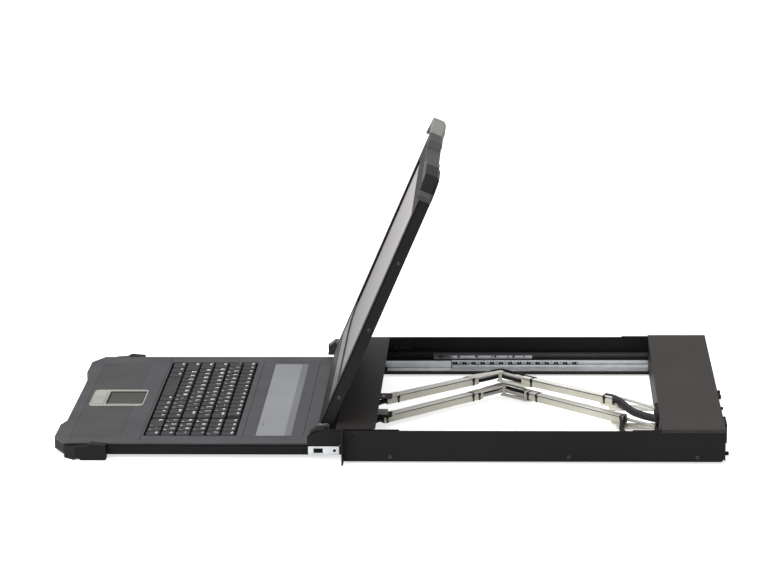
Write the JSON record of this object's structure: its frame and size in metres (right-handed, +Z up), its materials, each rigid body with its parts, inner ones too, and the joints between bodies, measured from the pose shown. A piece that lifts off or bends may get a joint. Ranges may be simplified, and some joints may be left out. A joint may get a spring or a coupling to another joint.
{
  "type": "rackmount display console drawer",
  "caption": "Rack drawer that pulls out in two slides: a keyboard tray with touchpad below, and a hinged flat display above, with folding cable arms to a rear electronics box.",
  "frame": {"origin": "centre of the front plane of the rack ears, at mid height of the rack unit", "axes": "+X to the right as the user faces the drawer, +Y back into the rack, +Z up"},
  "size_m": [0.4826, 0.8726, 0.3706],
  "materials": {
    "black_steel": "fine textured black powder coat",
    "brown_black_cover": "fine textured black powder coat, lit from above",
    "zinc_steel": "bright zinc plated steel",
    "dark_slide": "black electrophoretic coat",
    "grey_plastic": "moulded grey ABS",
    "dark_plastic": "moulded dark grey ABS, spark textured",
    "black_plastic": "moulded black ABS",
    "palm_plastic": "moulded dark ABS, fine grain",
    "key_plastic": "moulded key caps with pale legends",
    "silver_plastic": "silver painted ABS",
    "lamp_panel": "grey translucent strip",
    "screen_glass": "anti glare screen film",
    "ivory_duct": "ivory PVC duct",
    "board": "glass epoxy board",
    "black_rubber": "soft black rubber",
    "black_lead": "black cable jacket"
  },
  "bodies": {
    "chassis": {"left_side_rail": "black_steel", "right_side_rail": "black_steel", "rack_ears": "black_steel", "slide_mounts": "dark_slide", "display_channels": "dark_slide", "tray_channels": "zinc_steel", "rear_box": "black_steel", "rear_cover": "brown_black_cover", "rear_panel": "black_steel", "power_inlet": "black_plastic", "video_port": "zinc_steel", "usb_ports": "zinc_steel", "main_board": "board", "chassis_screws": "zinc_steel", "cable_grommets": "black_rubber", "arm_anchors": "zinc_steel", "rear_leads": "black_lead"},
    "power_switch": {"power_switch": "black_plastic"},
    "display_carriage": {"carriage_sides": "black_steel", "carriage_deck": "brown_black_cover", "hinge_blocks": "black_steel", "hinge_trims": "zinc_steel", "carriage_stops": "zinc_steel", "display_front_leads": "black_lead"},
    "display_cages": {"display_ball_cages": "zinc_steel"},
    "display": {"display_shell": "black_steel", "display_hinges": "zinc_steel", "display_bezel": "dark_plastic", "display_screen": "screen_glass", "display_board": "board", "display_end_cap": "grey_plastic", "display_corner_pads": "black_rubber", "display_screws": "zinc_steel"},
    "keyboard_tray": {"tray_pan": "black_steel", "tray_deck": "dark_plastic", "palm_inset": "palm_plastic", "touchpad_frame": "silver_plastic", "touchpad": "palm_plastic", "lamp_panel": "lamp_panel", "keyboard_base": "black_plastic", "tray_runners": "zinc_steel", "stop_plates": "zinc_steel", "side_tabs": "black_plastic", "tray_arm_tongue": "zinc_steel", "tray_front_leads": "black_lead"},
    "tray_cages": {"tray_ball_cages": "zinc_steel"},
    "left_pad_button": {"left_pad_button": "silver_plastic"},
    "right_pad_button": {"right_pad_button": "silver_plastic"},
    "display_rear_arm": {"display_rear_arm": "ivory_duct", "display_elbow_leads": "black_lead"},
    "display_front_arm": {"display_front_arm": "ivory_duct"},
    "tray_rear_arm": {"tray_rear_arm": "ivory_duct", "tray_elbow_leads": "black_lead"},
    "tray_front_arm": {"tray_front_arm": "ivory_duct"},
    "space_row": {"space_row": "key_plastic"},
    "lower_row": {"lower_row": "key_plastic"},
    "home_row": {"home_row": "key_plastic"},
    "upper_row": {"upper_row": "key_plastic"},
    "number_row": {"number_row": "key_plastic"},
    "function_row": {"function_row": "key_plastic"}
  },
  "joints": [
    {"name": "carriage_slide", "type": "slide", "parent": "chassis", "child": "display_carriage", "axis": [0, 1, 0], "range_m": [0, 0.303]},
    {"name": "display_cage_slide", "type": "slide", "parent": "chassis", "child": "display_cages", "axis": [0, 1, 0], "range_m": [0, 0.1515]},
    {"name": "tray_slide", "type": "slide", "parent": "chassis", "child": "keyboard_tray", "axis": [0, 1, 0], "range_m": [0, 0.303]},
    {"name": "tray_cage_slide", "type": "slide", "parent": "chassis", "child": "tray_cages", "axis": [0, 1, 0], "range_m": [0, 0.1515]},
    {"name": "display_hinge", "type": "hinge", "parent": "display_carriage", "child": "display", "pos_m": [0, -0.024, 0.008], "axis": [1, 0, 0], "range_deg": [-6, 113.75]},
    {"name": "display_rear_arm_pivot", "type": "hinge", "parent": "chassis", "child": "display_rear_arm", "pos_m": [0.062, 0.355, 0.009], "axis": [0, 0, -1], "range_deg": [0, 50.83]},
    {"name": "display_elbow", "type": "hinge", "parent": "display_rear_arm", "child": "display_front_arm", "pos_m": [-0.06, 0.2005, 0.009], "axis": [0, 0, 1], "range_deg": [0, 101.66]},
    {"name": "tray_rear_arm_pivot", "type": "hinge", "parent": "chassis", "child": "tray_rear_arm", "pos_m": [0.074, 0.365, -0.0125], "axis": [0, 0, -1], "range_deg": [0, 46.56]},
    {"name": "tray_elbow", "type": "hinge", "parent": "tray_rear_arm", "child": "tray_front_arm", "pos_m": [-0.066, 0.2055, -0.0125], "axis": [0, 0, 1], "range_deg": [0, 93.13]},
    {"name": "power_switch_rock", "type": "hinge", "parent": "chassis", "child": "power_switch", "pos_m": [0.122, 0.487, -0.002], "axis": [1, 0, 0], "range_deg": [0, 10]},
    {"name": "left_pad_button_press", "type": "slide", "parent": "keyboard_tray", "child": "left_pad_button", "axis": [0, 0, -1], "range_m": [0, 0.0006], "stiffness_N_per_m": 400},
    {"name": "right_pad_button_press", "type": "slide", "parent": "keyboard_tray", "child": "right_pad_button", "axis": [0, 0, -1], "range_m": [0, 0.0006], "stiffness_N_per_m": 400},
    {"name": "space_row_press", "type": "slide", "parent": "keyboard_tray", "child": "space_row", "axis": [0, 0, -1], "range_m": [0, 0.002], "stiffness_N_per_m": 800},
    {"name": "lower_row_press", "type": "slide", "parent": "keyboard_tray", "child": "lower_row", "axis": [0, 0, -1], "range_m": [0, 0.002], "stiffness_N_per_m": 800},
    {"name": "home_row_press", "type": "slide", "parent": "keyboard_tray", "child": "home_row", "axis": [0, 0, -1], "range_m": [0, 0.002], "stiffness_N_per_m": 800},
    {"name": "upper_row_press", "type": "slide", "parent": "keyboard_tray", "child": "upper_row", "axis": [0, 0, -1], "range_m": [0, 0.002], "stiffness_N_per_m": 800},
    {"name": "number_row_press", "type": "slide", "parent": "keyboard_tray", "child": "number_row", "axis": [0, 0, -1], "range_m": [0, 0.002], "stiffness_N_per_m": 800},
    {"name": "function_row_press", "type": "slide", "parent": "keyboard_tray", "child": "function_row", "axis": [0, 0, -1], "range_m": [0, 0.002], "stiffness_N_per_m": 800}
  ],
  "couplings": [
    {"joint": "display_cage_slide", "follows": "carriage_slide", "ratio": 0.5},
    {"joint": "tray_cage_slide", "follows": "tray_slide", "ratio": 0.5},
    {"joint": "display_rear_arm_pivot", "follows": "carriage_slide", "rad_per_m": 2.9279},
    {"joint": "display_elbow", "follows": "carriage_slide", "rad_per_m": 5.8558},
    {"joint": "tray_rear_arm_pivot", "follows": "tray_slide", "rad_per_m": 2.6822},
    {"joint": "tray_elbow", "follows": "tray_slide", "rad_per_m": 5.3644}
  ]
}
